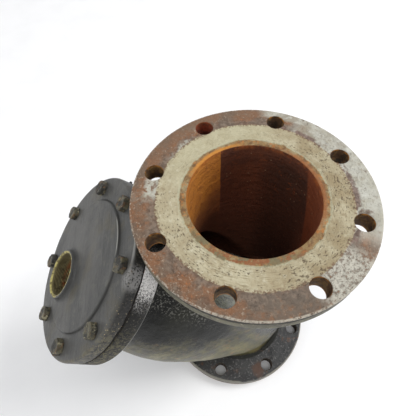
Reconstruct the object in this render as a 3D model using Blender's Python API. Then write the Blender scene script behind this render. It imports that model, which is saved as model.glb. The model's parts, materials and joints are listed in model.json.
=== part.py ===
"""Flanged Y-pattern strainer for a 6 inch pipe, in cast iron, as separate closed solids.

The strainer stands on its inlet flange, with the flow going straight up through the run. The barrel that
holds the screen branches off at 45 degrees towards -X and ends in a bolted cover with a blow-off boss.

Frame: metres, +Z up along the run. The origin is on the ground, in the middle of the whole part's
bounding box, so the run's axis stands at x = RUN_X. Branch shapes are drawn with +Z along the branch
axis, measured from the point where it crosses the run's axis, and BRANCH carries them into place.
"""

from math import cos, pi, radians, sin, sqrt

import bmesh
import bpy
from mathutils import Matrix, Vector

# Fits and fineness
GAP = 0.0003                  # clearance between pieces that touch
ROUND_STEPS = 48              # sides of the large round shapes
HOLE_STEPS = 16               # sides of bolts and bolt holes
BOSS_STEPS = 32               # sides of the blow-off boss and of the crown cut on a screw head
BARREL_STEPS = 11             # rings along the outside of the barrel
CHAMBER_STEPS = 8             # rings along the inside of the barrel
FILLET_STEPS = 3
OVERSHOOT = 0.004             # how far a cutter runs past the face it opens
WELD = 0.00001                # points closer than this are one point

# Run: class 125 flanges for 6 inch pipe
RUN_LENGTH = 0.470            # face to face
PIPE_RADIUS = 0.0762
NECK_RADIUS = 0.0889
FLANGE_RADIUS = 0.1397
FLANGE_THICKNESS = 0.0254
FLANGE_BOLT_CIRCLE = 0.12065  # radius
FLANGE_HOLE_RADIUS = 0.0111
FLANGE_EDGE = 0.0015          # chamfer on the flange's machined edge
NECK_FILLET = 0.010           # where a neck meets its flange
BOLT_COUNT = 8

# Branch: positions are distances along its axis from the run's axis
BRANCH_ANGLE = radians(45)    # between branch and run
BRANCH_HEIGHT = 0.108         # where the two axes cross, above the inlet face
COVER_FACE = 0.3268           # outer face of the cover's rim
COVER_RADIUS = 0.130
COVER_THICKNESS = 0.018
COVER_EDGE = 0.003            # rounding of the cover's outer edge
COVER_BOLT_CIRCLE = 0.1125    # radius
COVER_HOLE_RADIUS = 0.0079
GASKET_THICKNESS = 0.0015
GASKET_RADIUS = 0.1292
GASKET_TONGUE = (0.006, 0.0035)  # width and reach of the bit of gasket that stands out of the joint
TONGUE_ANGLE = radians(49)    # from the side of the cover nearest the outlet
BRANCH_FLANGE_THICKNESS = 0.0235
BRANCH_NECK_RADIUS = 0.098
MOUTH_RADIUS = 0.0872         # bore that the screen goes in through

# Barrel: two arcs that meet at its widest place
CROWN_POSITION = 0.165
CROWN_RADIUS = 0.1205
ARC_TO_SEAT = 0.560           # curvature radius below the crown
ARC_TO_COVER = 0.238          # curvature radius above the crown
BARREL_WALL = 0.012
BARREL_TAIL = -0.040          # rounded lower end, inside the inlet neck
TAIL_RADIUS = 0.068
TAIL_SHOULDER = (0.015, 0.012)   # how far out and up the tail's edge is rounded
TAIL_LENGTH = 0.030           # from the tail's end to where the barrel's arc takes over

# Seat and partition between inlet and outlet
SEAT_RADIUS = 0.072
SEAT_LEDGE = -0.002
COUNTERBORE_RADIUS = 0.083
PARTITION_BELOW = -0.012
PARTITION_ABOVE = 0.008
CHAMBER_FLOOR = 0.006

# Raised disc, pilot ring and blow-off boss on the cover
DISC_RADIUS = 0.094
DISC_HEIGHT = 0.003
PILOT_INNER_RADIUS = 0.0828
PILOT_OUTER_RADIUS = 0.0864
PILOT_HEIGHT = 0.006
BOSS_OFFSET = 0.049           # below the branch axis, in the plane of symmetry
BOSS_HEIGHT = 0.011           # above the cover's rim face
BOSS_TOP_RADIUS = 0.0362
BOSS_BASE_RADIUS = 0.0378
BLOW_OFF_RADIUS = 0.0286
BLOW_OFF_MOUTH_RADIUS = 0.033

# Screen
SCREEN_RADIUS = 0.080
SCREEN_THICKNESS = 0.0015
BAND_THICKNESS = 0.002
BAND_WIDTH = 0.018

# Cap screws, 9/16 inch
SCREW_RADIUS = 0.0071
SCREW_HOLE_RADIUS = 0.0075
SCREW_LENGTH = 0.0445
SCREW_TIP = 0.0014            # chamfer at the screw's end
HEAD_ACROSS_FLATS = 0.0206
HEAD_HEIGHT = 0.0085
HEAD_CHAMFER = 0.0012
HEAD_TURN = radians(37)       # each head is turned this much further than the one before it

# Places that follow from the dimensions above
COVER_BACK = COVER_FACE - COVER_THICKNESS
GASKET_FACE = COVER_BACK - GAP
BRANCH_FACE = GASKET_FACE - GASKET_THICKNESS - GAP
BRANCH_FLANGE_BACK = BRANCH_FACE - BRANCH_FLANGE_THICKNESS
SCREEN_LOW = SEAT_LEDGE + GAP
SCREEN_HIGH = COVER_BACK - GAP
ROUNDED_AWAY = COVER_EDGE * (sin(BRANCH_ANGLE) + cos(BRANCH_ANGLE) - 1)
REACH = COVER_FACE * sin(BRANCH_ANGLE) + COVER_RADIUS * cos(BRANCH_ANGLE) - ROUNDED_AWAY
RUN_X = (REACH - FLANGE_RADIUS) / 2

RUN = Matrix.Translation((RUN_X, 0, 0))
BRANCH = (Matrix.Translation((RUN_X, 0, BRANCH_HEIGHT))
          @ Matrix.Rotation(-BRANCH_ANGLE, 4, "Y"))


def clear_scene():
    for thing in list(bpy.data.objects):
        bpy.data.objects.remove(thing, do_unlink=True)


def material(name, colour, roughness, metallic=0.0):
    made = bpy.data.materials.new(name)
    made.use_nodes = True
    shader = made.node_tree.nodes["Principled BSDF"]
    shader.inputs["Base Color"].default_value = (*colour, 1)
    shader.inputs["Roughness"].default_value = roughness
    shader.inputs["Metallic"].default_value = metallic
    return made


def new_object(name, mesh, surface=None):
    made = bpy.data.objects.new(name, mesh)
    bpy.context.scene.collection.objects.link(made)
    if surface:
        mesh.materials.append(surface)
    return made


def arc(centre, radius, start, end, steps):
    """Points (radius, height) on an arc of a profile, angles in degrees from the outward direction."""
    points = []
    for step in range(steps + 1):
        angle = radians(start + (end - start) * step / steps)
        points.append((centre[0] + radius * cos(angle), centre[1] + radius * sin(angle)))
    return points


def ring_of(shape, radius, height, steps):
    if radius < 1e-6:
        return [shape.verts.new((0, 0, height))]
    ring = []
    for index in range(steps):
        angle = 2 * pi * index / steps
        ring.append(shape.verts.new((radius * cos(angle), radius * sin(angle), height)))
    return ring


def skin_between(shape, lower, upper):
    count = max(len(lower), len(upper))
    for i in range(count):
        following = (i + 1) % count
        if len(lower) == 1:
            shape.faces.new((lower[0], upper[i], upper[following]))
        elif len(upper) == 1:
            shape.faces.new((lower[i], lower[following], upper[0]))
        else:
            shape.faces.new((lower[i], lower[following], upper[following], upper[i]))


def turned(profile, steps=ROUND_STEPS, place=None):
    """Mesh of a turned solid round Z. A profile that starts and ends on the axis is a full solid, any
    other profile is a closed ring."""
    shape = bmesh.new()
    rings = [ring_of(shape, radius, height, steps) for radius, height in profile]
    for lower, upper in zip(rings, rings[1:]):
        skin_between(shape, lower, upper)
    if len(rings[0]) > 1:
        skin_between(shape, rings[-1], rings[0])
    bmesh.ops.recalc_face_normals(shape, faces=shape.faces)
    return finished(shape, place)


def finished(shape, place=None):
    mesh = bpy.data.meshes.new("shape")
    shape.to_mesh(mesh)
    shape.free()
    if place is not None:
        mesh.transform(place)
    return mesh


def cylinder_profile(radius, low, high):
    return [(0, low), (radius, low), (radius, high), (0, high)]


def around(count, radius, place):
    """Frames on a bolt circle whose holes straddle the plane of symmetry."""
    for index in range(count):
        angle = 2 * pi * (index + 0.5) / count
        yield place @ Matrix.Translation((radius * cos(angle), radius * sin(angle), 0))


def hole_circle(circle_radius, hole_radius, low, high, place):
    """One mesh of all the cutters of a bolt circle, standing clear of each other."""
    shape = bmesh.new()
    for frame in around(BOLT_COUNT, circle_radius, place):
        pin = turned(cylinder_profile(hole_radius, low, high), HOLE_STEPS, frame)
        shape.from_mesh(pin)
        bpy.data.meshes.remove(pin)
    return finished(shape)


def half_cylinder(radius, low, high, cut_height, keep_above):
    """Run bore cut off by a plane square to the branch axis, at cut_height along that axis."""
    mesh = turned(cylinder_profile(radius, low, high), place=RUN)
    shape = bmesh.new()
    shape.from_mesh(mesh)
    bpy.data.meshes.remove(mesh)
    normal = (BRANCH.to_3x3() @ Vector((0, 0, 1))).normalized()
    cut = bmesh.ops.bisect_plane(
        shape, geom=shape.verts[:] + shape.edges[:] + shape.faces[:],
        plane_co=BRANCH @ Vector((0, 0, cut_height)), plane_no=normal,
        clear_inner=keep_above, clear_outer=not keep_above)
    rim = [edge for edge in cut["geom_cut"] if isinstance(edge, bmesh.types.BMEdge)]
    bmesh.ops.edgeloop_fill(shape, edges=rim)
    bmesh.ops.recalc_face_normals(shape, faces=shape.faces)
    return finished(shape)


def combine(target, operation, mesh):
    """Join or cut the target's mesh with another one, which is used up."""
    tool = new_object("tool", mesh)
    step = target.modifiers.new(operation.lower(), "BOOLEAN")
    step.operation = operation
    step.solver = "EXACT"
    step.object = tool
    depsgraph = bpy.context.evaluated_depsgraph_get()
    result = bpy.data.meshes.new_from_object(target.evaluated_get(depsgraph))
    target.modifiers.clear()
    target.data = result
    weld(result)
    bpy.data.objects.remove(tool, do_unlink=True)


def weld(mesh):
    """Close up the hairline edges that a cut can leave."""
    shape = bmesh.new()
    shape.from_mesh(mesh)
    bmesh.ops.remove_doubles(shape, verts=shape.verts, dist=WELD)
    bmesh.ops.dissolve_degenerate(shape, edges=shape.edges, dist=WELD)
    shape.to_mesh(mesh)
    shape.free()


def shade_round(piece, sharp_angle=30):
    piece.data.shade_smooth()
    piece.data.set_sharp_from_angle(angle=radians(sharp_angle))


def barrel_radius(position):
    """Outer radius of the barrel, which bulges between the seat and the branch flange."""
    away = position - CROWN_POSITION
    curve = ARC_TO_COVER if away > 0 else ARC_TO_SEAT
    return CROWN_RADIUS - curve + sqrt(curve ** 2 - away ** 2)


def run_profile():
    """Outside of the run, from the inlet face up to the outlet face, square to the ground."""
    inlet_back = FLANGE_THICKNESS
    outlet_back = RUN_LENGTH - FLANGE_THICKNESS
    fillet = NECK_RADIUS + NECK_FILLET
    profile = [(0, 0), (FLANGE_RADIUS - FLANGE_EDGE, 0),
               (FLANGE_RADIUS, FLANGE_EDGE), (FLANGE_RADIUS, inlet_back)]
    profile += arc((fillet, inlet_back + NECK_FILLET), NECK_FILLET, 270, 180, FILLET_STEPS)
    profile += arc((fillet, outlet_back - NECK_FILLET), NECK_FILLET, 180, 90, FILLET_STEPS)
    profile += [(FLANGE_RADIUS, outlet_back), (FLANGE_RADIUS, RUN_LENGTH - FLANGE_EDGE),
                (FLANGE_RADIUS - FLANGE_EDGE, RUN_LENGTH), (0, RUN_LENGTH)]
    return profile


def neck_start():
    """Where the barrel's upper arc comes down to the neck's radius."""
    drop = CROWN_RADIUS - BRANCH_NECK_RADIUS
    return CROWN_POSITION + sqrt(ARC_TO_COVER ** 2 - (ARC_TO_COVER - drop) ** 2)


def barrel_profile():
    """Outside of the branch, from its rounded tail to the face of its flange."""
    out, up = TAIL_SHOULDER
    profile = [(0, BARREL_TAIL), (TAIL_RADIUS, BARREL_TAIL), (TAIL_RADIUS + out, BARREL_TAIL + up)]
    start = BARREL_TAIL + TAIL_LENGTH
    end = neck_start()
    for step in range(BARREL_STEPS + 1):
        position = start + (end - start) * step / BARREL_STEPS
        profile.append((barrel_radius(position), position))
    fillet_centre = (BRANCH_NECK_RADIUS + NECK_FILLET, BRANCH_FLANGE_BACK - NECK_FILLET)
    profile += arc(fillet_centre, NECK_FILLET, 180, 90, FILLET_STEPS)
    profile += [(COVER_RADIUS, BRANCH_FLANGE_BACK), (COVER_RADIUS, BRANCH_FACE), (0, BRANCH_FACE)]
    return profile


def chamber_profile():
    """Inside of the branch: the outside less the wall, then the machined mouth."""
    floor_radius = barrel_radius(CHAMBER_FLOOR) - BARREL_WALL
    mouth_drop = CROWN_RADIUS - BARREL_WALL - MOUTH_RADIUS
    mouth_start = CROWN_POSITION + sqrt(ARC_TO_COVER ** 2 - (ARC_TO_COVER - mouth_drop) ** 2)
    profile = [(0, CHAMBER_FLOOR), (floor_radius, CHAMBER_FLOOR)]
    for step in range(1, CHAMBER_STEPS + 1):
        position = CHAMBER_FLOOR + (mouth_start - CHAMBER_FLOOR) * step / CHAMBER_STEPS
        profile.append((barrel_radius(position) - BARREL_WALL, position))
    top = BRANCH_FACE + OVERSHOOT
    profile += [(MOUTH_RADIUS, top), (0, top)]
    return profile


def seat_profile():
    """Opening of the seat and the counterbore that centres the screen's lower band."""
    below = PARTITION_BELOW - OVERSHOOT
    above = PARTITION_ABOVE + OVERSHOOT
    return [(0, below), (SEAT_RADIUS, below), (SEAT_RADIUS, SEAT_LEDGE),
            (COUNTERBORE_RADIUS, SEAT_LEDGE), (COUNTERBORE_RADIUS, above), (0, above)]


def make_body(surface):
    """The casting: run, barrel and three flanges, hollowed out."""
    body = new_object("strainer_body", turned(run_profile(), place=RUN), surface)
    combine(body, "UNION", turned(barrel_profile(), place=BRANCH))

    inlet_bore = half_cylinder(PIPE_RADIUS, -OVERSHOOT, RUN_LENGTH / 2, PARTITION_BELOW, False)
    outlet_bore = half_cylinder(PIPE_RADIUS, OVERSHOOT, RUN_LENGTH + OVERSHOOT, PARTITION_ABOVE, True)
    chamber = turned(chamber_profile(), place=BRANCH)
    seat = turned(seat_profile(), place=BRANCH)
    for hollow in (inlet_bore, outlet_bore, chamber, seat):
        combine(body, "DIFFERENCE", hollow)

    for low in (0, RUN_LENGTH - FLANGE_THICKNESS):
        high = low + FLANGE_THICKNESS + OVERSHOOT
        flange_holes = hole_circle(FLANGE_BOLT_CIRCLE, FLANGE_HOLE_RADIUS, low - OVERSHOOT, high, RUN)
        combine(body, "DIFFERENCE", flange_holes)
    screw_holes = hole_circle(COVER_BOLT_CIRCLE, SCREW_HOLE_RADIUS, BRANCH_FLANGE_BACK - OVERSHOOT,
                              BRANCH_FACE + OVERSHOOT, BRANCH)
    combine(body, "DIFFERENCE", screw_holes)
    shade_round(body)


def make_cover(surface):
    """The cover: rim, raised disc, pilot ring behind it, and the boss with its open blow-off hole."""
    disc_face = COVER_FACE + DISC_HEIGHT
    pilot_end = COVER_BACK - PILOT_HEIGHT
    edge_centre = (COVER_RADIUS - COVER_EDGE, COVER_FACE - COVER_EDGE)
    profile = [(0, COVER_BACK), (PILOT_INNER_RADIUS, COVER_BACK), (PILOT_INNER_RADIUS, pilot_end),
               (PILOT_OUTER_RADIUS, pilot_end), (PILOT_OUTER_RADIUS, COVER_BACK),
               (COVER_RADIUS, COVER_BACK)]
    profile += arc(edge_centre, COVER_EDGE, 0, 90, 4)
    profile += [(DISC_RADIUS, COVER_FACE), (DISC_RADIUS - DISC_HEIGHT / 2, disc_face), (0, disc_face)]
    cover = new_object("cover", turned(profile, place=BRANCH), surface)

    boss_place = BRANCH @ Matrix.Translation((-BOSS_OFFSET, 0, 0))
    boss_face = COVER_FACE + BOSS_HEIGHT
    edge = BOSS_BASE_RADIUS - BOSS_TOP_RADIUS
    root = COVER_FACE - COVER_THICKNESS / 2
    boss = [(0, root), (BOSS_BASE_RADIUS, root), (BOSS_BASE_RADIUS, boss_face - edge),
            (BOSS_TOP_RADIUS, boss_face), (0, boss_face)]
    combine(cover, "UNION", turned(boss, BOSS_STEPS, boss_place))

    chamfer = BLOW_OFF_MOUTH_RADIUS - BLOW_OFF_RADIUS
    bottom = COVER_BACK - OVERSHOOT
    top = boss_face + OVERSHOOT
    hole = [(0, bottom), (BLOW_OFF_RADIUS, bottom), (BLOW_OFF_RADIUS, boss_face - chamfer),
            (BLOW_OFF_MOUTH_RADIUS + OVERSHOOT, top), (0, top)]
    combine(cover, "DIFFERENCE", turned(hole, BOSS_STEPS, boss_place))
    screw_holes = hole_circle(COVER_BOLT_CIRCLE, COVER_HOLE_RADIUS, bottom, COVER_FACE + OVERSHOOT, BRANCH)
    combine(cover, "DIFFERENCE", screw_holes)
    shade_round(cover)
    return cover


def tongue_mesh(low):
    """Small tongue at the gasket's edge, rooted inside the ring."""
    width, reach = GASKET_TONGUE
    root = GASKET_RADIUS - width
    tip = GASKET_RADIUS + reach
    shape = bmesh.new()
    bmesh.ops.create_cube(shape, size=1)
    mesh = finished(shape)
    middle = Matrix.Translation(((root + tip) / 2, 0, low + GASKET_THICKNESS / 2))
    mesh.transform(Matrix.Diagonal((tip - root, width, GASKET_THICKNESS, 1)))
    mesh.transform(BRANCH @ Matrix.Rotation(TONGUE_ANGLE, 4, "Z") @ middle)
    return mesh


def make_gasket(surface):
    """Full-face gasket, punched for the cap screws."""
    low = GASKET_FACE - GASKET_THICKNESS
    profile = [(MOUTH_RADIUS, low), (GASKET_RADIUS, low),
               (GASKET_RADIUS, GASKET_FACE), (MOUTH_RADIUS, GASKET_FACE)]
    gasket = new_object("cover_gasket", turned(profile, place=BRANCH), surface)
    combine(gasket, "UNION", tongue_mesh(low))
    screw_holes = hole_circle(COVER_BOLT_CIRCLE, COVER_HOLE_RADIUS, low - OVERSHOOT,
                              GASKET_FACE + OVERSHOOT, BRANCH)
    combine(gasket, "DIFFERENCE", screw_holes)
    shade_round(gasket)


def tube(name, inner_radius, outer_radius, low, high, surface):
    profile = [(inner_radius, low), (outer_radius, low), (outer_radius, high), (inner_radius, high)]
    made = new_object(name, turned(profile), surface)
    made.matrix_world = BRANCH
    shade_round(made)
    return made


def make_screen(surface):
    """Rolled sheet, open at both ends, and the two bands round its ends. Each has its origin on the
    branch axis, along which the screen is drawn out."""
    sheet_inside = SCREEN_RADIUS - SCREEN_THICKNESS
    sheet = tube("screen_sheet", sheet_inside, SCREEN_RADIUS, SCREEN_LOW, SCREEN_HIGH, surface)
    band_inside = SCREEN_RADIUS + GAP
    band_outside = band_inside + BAND_THICKNESS
    for name, low in (("screen_seat_band", SCREEN_LOW), ("screen_cover_band", SCREEN_HIGH - BAND_WIDTH)):
        band = tube(name, band_inside, band_outside, low, low + BAND_WIDTH, surface)
        band.parent = sheet
        band.matrix_parent_inverse = sheet.matrix_world.inverted()


def screw_mesh():
    """Cap screw with its axis on Z: the seat under the head is at height 0, the shank runs down."""
    corner_radius = HEAD_ACROSS_FLATS / 2 / cos(pi / 6)
    hexagon = new_object("hexagon", turned(cylinder_profile(corner_radius, 0, HEAD_HEIGHT), 6))
    clear_of_corners = corner_radius + GAP
    crown = [(0, -OVERSHOOT), (clear_of_corners, -OVERSHOOT), (clear_of_corners, HEAD_HEIGHT - HEAD_CHAMFER),
             (HEAD_ACROSS_FLATS / 2 - GAP, HEAD_HEIGHT), (0, HEAD_HEIGHT)]
    combine(hexagon, "INTERSECT", turned(crown, BOSS_STEPS))
    shank = [(0, -SCREW_LENGTH), (SCREW_RADIUS - SCREW_TIP, -SCREW_LENGTH),
             (SCREW_RADIUS, SCREW_TIP - SCREW_LENGTH),
             (SCREW_RADIUS, HEAD_HEIGHT / 2), (0, HEAD_HEIGHT / 2)]
    combine(hexagon, "UNION", turned(shank, HOLE_STEPS))
    shade_round(hexagon)
    mesh = hexagon.data
    bpy.data.objects.remove(hexagon, do_unlink=True)
    return mesh


def make_screws(cover, surface):
    """Eight cap screws, each with its origin on its own axis, under its head."""
    mesh = screw_mesh()
    mesh.materials.append(surface)
    for number, frame in enumerate(around(BOLT_COUNT, COVER_BOLT_CIRCLE, BRANCH), start=1):
        screw = new_object(f"cover_bolt_{number}", mesh)
        turn = Matrix.Rotation(HEAD_TURN * number, 4, "Z")
        screw.matrix_world = frame @ Matrix.Translation((0, 0, COVER_FACE + GAP)) @ turn
        screw.parent = cover
        screw.matrix_parent_inverse = cover.matrix_world.inverted()


def main():
    clear_scene()
    make_body(material("black_painted_cast_iron", (0.030, 0.030, 0.024), 0.45))
    cover = make_cover(material("grey_painted_cover", (0.100, 0.100, 0.095), 0.6))
    make_gasket(material("gasket_fibre", (0.050, 0.045, 0.040), 0.9))
    make_screen(material("stainless_sheet", (0.420, 0.400, 0.370), 0.4, 1.0))
    make_screws(cover, material("rusty_steel", (0.120, 0.085, 0.055), 0.7, 0.5))


main()
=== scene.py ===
"""Looks of the flanged Y strainer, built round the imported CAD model.

Every piece is a mesh whose points are in the row frame, so a material's Object coordinates are places on
the strainer. The casting is drawn as a distance field, which gives the soft fillets of a cast surface, and
the machined flanges, the screws and the screen are drawn as turned or flat-cut meshes.
"""

import json
from math import cos, pi, radians, sin, sqrt

import bmesh
import bpy
import numpy as np
from mathutils import Matrix, Vector, noise
from mathutils.geometry import delaunay_2d_cdt

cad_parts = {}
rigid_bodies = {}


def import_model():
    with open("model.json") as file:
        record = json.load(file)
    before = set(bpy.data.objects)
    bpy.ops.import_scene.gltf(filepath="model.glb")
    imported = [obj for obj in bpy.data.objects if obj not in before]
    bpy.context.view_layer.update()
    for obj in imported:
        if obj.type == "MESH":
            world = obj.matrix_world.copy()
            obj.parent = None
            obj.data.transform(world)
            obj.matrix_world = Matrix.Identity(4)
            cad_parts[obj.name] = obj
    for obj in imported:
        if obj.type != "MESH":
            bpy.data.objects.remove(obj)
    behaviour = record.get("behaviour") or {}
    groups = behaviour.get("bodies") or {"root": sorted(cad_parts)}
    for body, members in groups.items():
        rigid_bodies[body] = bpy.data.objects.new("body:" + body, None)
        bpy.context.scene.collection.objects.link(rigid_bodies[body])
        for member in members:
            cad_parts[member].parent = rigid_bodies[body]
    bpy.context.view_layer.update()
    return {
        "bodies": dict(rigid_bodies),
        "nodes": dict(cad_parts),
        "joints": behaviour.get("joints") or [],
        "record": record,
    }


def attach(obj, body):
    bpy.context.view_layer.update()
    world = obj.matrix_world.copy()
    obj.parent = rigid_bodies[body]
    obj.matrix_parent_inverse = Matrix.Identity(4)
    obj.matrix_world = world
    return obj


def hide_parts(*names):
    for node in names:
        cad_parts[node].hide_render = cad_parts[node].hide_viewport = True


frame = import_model()

# ---- sizes, in metres: the run's place, the flange heights and the branch axis read from the frame, the rest given

outlet_mount = next(m for m in frame["record"]["mounts"] if m["name"] == "outlet_flange_face")
inlet_mount = next(m for m in frame["record"]["mounts"] if m["name"] == "inlet_flange_face")
cover_joint = next(j for j in frame["joints"] if j["name"] == "cover_withdraw")

RUN_X = outlet_mount["pos_m"][0]
OUTLET_Z = outlet_mount["pos_m"][2]
INLET_Z = inlet_mount["pos_m"][2]
BRANCH_AXIS = Vector(cover_joint["axis"]).normalized()
BRANCH_HEIGHT = 0.108
CROSSING = Vector((RUN_X, 0, BRANCH_HEIGHT))
ACROSS = Vector((BRANCH_AXIS.z, 0, -BRANCH_AXIS.x))

FLANGE_RADIUS = 0.1397
FLANGE_THICKNESS = 0.0254
FLANGE_BOLT_CIRCLE = 0.12065
FLANGE_HOLE_RADIUS = 0.0111
PIPE_RADIUS = 0.0762
NECK_RADIUS = 0.0889
NECK_FILLET = 0.012
BOLT_COUNT = 8

COVER_FACE = 0.3268
COVER_RADIUS = 0.130
COVER_THICKNESS = 0.018
COVER_BOLT_CIRCLE = 0.1125
COVER_HOLE_RADIUS = 0.0079
SCREW_HOLE_RADIUS = 0.0075
COVER_BACK = COVER_FACE - COVER_THICKNESS
GASKET_FACE = COVER_BACK - 0.0003
GASKET_THICKNESS = 0.0015
BRANCH_FACE = GASKET_FACE - GASKET_THICKNESS - 0.0003
BRANCH_FLANGE_BACK = BRANCH_FACE - 0.0235
BRANCH_NECK_RADIUS = 0.098
MOUTH_RADIUS = 0.0872
BARREL_WALL = 0.012
CROWN_POSITION = 0.165
CROWN_RADIUS = 0.1205
ARC_TO_SEAT = 0.560
ARC_TO_COVER = 0.238

SEAT_RADIUS = 0.072
COUNTERBORE_RADIUS = 0.083
DISC_RADIUS = 0.094
DISC_HEIGHT = 0.003
BOSS_OFFSET = 0.049
BOSS_HEIGHT = 0.011
BOSS_TOP_RADIUS = 0.0362
BOSS_BASE_RADIUS = 0.0378
BLOW_OFF_RADIUS = 0.0286
BLOW_OFF_MOUTH_RADIUS = 0.033

SCREEN_RADIUS = 0.080
SCREEN_THICKNESS = 0.0015
SCREEN_LOW = -0.0017
SCREEN_HIGH = COVER_BACK - 0.0003
BAND_WIDTH = 0.018
BAND_THICKNESS = 0.002

RUN = Matrix.Translation((RUN_X, 0, 0))
BRANCH = Matrix.Translation(CROSSING) @ Matrix((ACROSS, (0, 1, 0), BRANCH_AXIS)).transposed().to_4x4()
BOSS = BRANCH @ Matrix.Translation((-BOSS_OFFSET, 0, 0))

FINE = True
CAST_STEP = 0.0022 if FINE else 0.0035   # grid of the casting's distance field
COVER_STEP = 0.0013 if FINE else 0.0022
ROUND = 192
JOIN = 0.0012                            # how far the cast skin runs into each flange
CLOSE = 1e-7                             # points closer than this are one point


# ---- meshes

def add_piece(name, verts, faces, place=None):
    mesh = bpy.data.meshes.new(name)
    mesh.from_pydata([tuple(v) for v in verts], [], [tuple(f) for f in faces])
    if place is not None:
        mesh.transform(place)
    mesh.validate()
    made = bpy.data.objects.new(name, mesh)
    bpy.context.scene.collection.objects.link(made)
    return made


def outward(piece, sharp_angle=40):
    """Turns the faces outward and shades them smooth, except at edges sharper than that angle."""
    shape = bmesh.new()
    shape.from_mesh(piece.data)
    bmesh.ops.recalc_face_normals(shape, faces=shape.faces)
    shape.to_mesh(piece.data)
    shape.free()
    smooth(piece, sharp_angle)
    return piece


def smooth(piece, sharp_angle):
    piece.data.shade_smooth()
    piece.data.set_sharp_from_angle(angle=radians(sharp_angle))


def rounded(corners, steps=5):
    """Profile through corners (radius, height, rounding), closed, with each corner cut by an arc."""
    points = []
    count = len(corners)
    for index, (radius, height, rounding) in enumerate(corners):
        here = np.array((radius, height))
        if rounding == 0:
            points.append(here)
            continue
        before = np.array(corners[index - 1][:2]) - here
        after = np.array(corners[(index + 1) % count][:2]) - here
        before = before / np.linalg.norm(before)
        after = after / np.linalg.norm(after)
        for step in range(steps + 1):
            t = step / steps
            start = here + before * rounding
            end = here + after * rounding
            points.append((1 - t) ** 2 * start + 2 * t * (1 - t) * here + t ** 2 * end)
    return points


def circle(radius, count, centre=(0, 0)):
    turns = [2 * pi * i / count for i in range(count)]
    return [(centre[0] + radius * cos(turn), centre[1] + radius * sin(turn)) for turn in turns]


def between(first, second, count):
    """Quads between two rings of count points that start at the points numbered first and second."""
    turns = [(i, (i + 1) % count) for i in range(count)]
    return [(first + i, first + j, second + j, second + i) for i, j in turns]


def loop_borders(start, count):
    return [(start + i, start + (i + 1) % count) for i in range(count)]


def turned(name, profile, place, steps):
    """Closed ring turned round Z."""
    count = len(profile)
    verts = [(radius * x, radius * y, height) for x, y in circle(1, steps) for radius, height in profile]
    faces = []
    for i in range(steps):
        here, there = i * count, (i + 1) % steps * count
        faces += [(here + k, there + k, there + m, here + m) for k, m in loop_borders(0, count)]
    return outward(add_piece(name, verts, faces, place))


def bolt_circle(radius):
    for index in range(BOLT_COUNT):
        angle = 2 * pi * (index + 0.5) / BOLT_COUNT
        yield radius * cos(angle), radius * sin(angle)


def filled(points, borders, open_circles, mode):
    """Triangles that fill a flat outline, except inside the open circles, as (points, triangles)."""
    result = delaunay_2d_cdt([Vector(p) for p in points], borders, [], mode, CLOSE)
    flat = [(v.x, v.y) for v in result[0]]
    kept = []
    for a, b, c in result[2]:
        x = (flat[a][0] + flat[b][0] + flat[c][0]) / 3
        y = (flat[a][1] + flat[b][1] + flat[c][1]) / 3
        if all(sqrt((x - p) ** 2 + (y - q) ** 2) > reach for (p, q), reach in open_circles):
            kept.append((a, b, c))
    return flat, kept


def plate(name, outer, bore, holes, hole_radius, low, high, place, edges, spacing, wave=0.0):
    """Flat ring with bolt holes. Each of its loops runs from the upper face to the lower one along the
    steps in edges[loop kind], a list of (how far into the hole or out of the rim, depth from the top).
    wave is the unevenness of the upper face."""
    loops = [("outer", (0, 0), outer, ROUND, 1), ("bore", (0, 0), bore, ROUND, -1)]
    loops += [("hole", centre, hole_radius, 40, -1) for centre in holes]

    def inner_points():
        """Points in staggered rows, clear of every loop."""
        row = 0
        y = -outer
        while y < outer:
            x = -outer + (row % 2) * spacing / 2
            while x < outer:
                clear = bore + spacing < sqrt(x * x + y * y) < outer - spacing
                gap = min(sqrt((x - a) ** 2 + (y - b) ** 2) for a, b in holes)
                if clear and gap > hole_radius + spacing:
                    yield x, y
                x += spacing
            y += spacing * 0.866
            row += 1

    def flat_face(step_index):
        points, borders, starts = [], [], []
        for kind, centre, radius, count, side in loops:
            starts.append(len(points))
            borders += loop_borders(len(points), count)
            points += circle(radius + side * edges[kind][step_index][0], count, centre)
        points += inner_points()
        open_circles = [(centre, (radius - edges[kind][step_index][0]) * 0.9999)
                        for kind, centre, radius, count, side in loops if side < 0]
        flat, triangles = filled(points, borders, open_circles, 0)
        return flat, triangles, starts

    top, top_faces, starts = flat_face(0)
    bottom, bottom_faces, _ = flat_face(-1)
    first_inner = starts[-1] + loops[-1][3]
    verts = []
    for i, (x, y) in enumerate(top):
        lift = wave * min(0.0, noise.noise((x * 45, y * 45, 0)) - 0.3) if i >= first_inner else 0.0
        verts.append((x, y, high + lift))
    verts += [(x, y, low) for x, y in bottom]
    faces = top_faces + [(c + len(top), b + len(top), a + len(top)) for a, b, c in bottom_faces]
    for (kind, centre, radius, count, side), start in zip(loops, starts):
        above = start
        for reach, depth in edges[kind][1:-1]:
            below = len(verts)
            verts += [(x, y, high - depth) for x, y in circle(radius + side * reach, count, centre)]
            faces += between(above, below, count)
            above = below
        faces += between(above, len(top) + start, count)
    return outward(add_piece(name, verts, faces, place), 50)


# ---- distance fields

def smooth_min(a, b, reach):
    """Union of two fields with a fillet of about that reach."""
    blend = np.clip(0.5 + 0.5 * (b - a) / reach, 0, 1)
    return b + (a - b) * blend - reach * blend * (1 - blend)


def smooth_max(a, b, reach):
    return -smooth_min(-a, -b, reach)


def rod(away, along, radius, low, high, rounding):
    """Field of a cylinder with rounded ends; away is the distance from its axis."""
    out = away - (radius - rounding)
    past = np.abs(along - (low + high) / 2) - ((high - low) / 2 - rounding)
    outside = np.sqrt(np.maximum(out, 0) ** 2 + np.maximum(past, 0) ** 2)
    return outside + np.minimum(np.maximum(out, past), 0) - rounding


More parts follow.
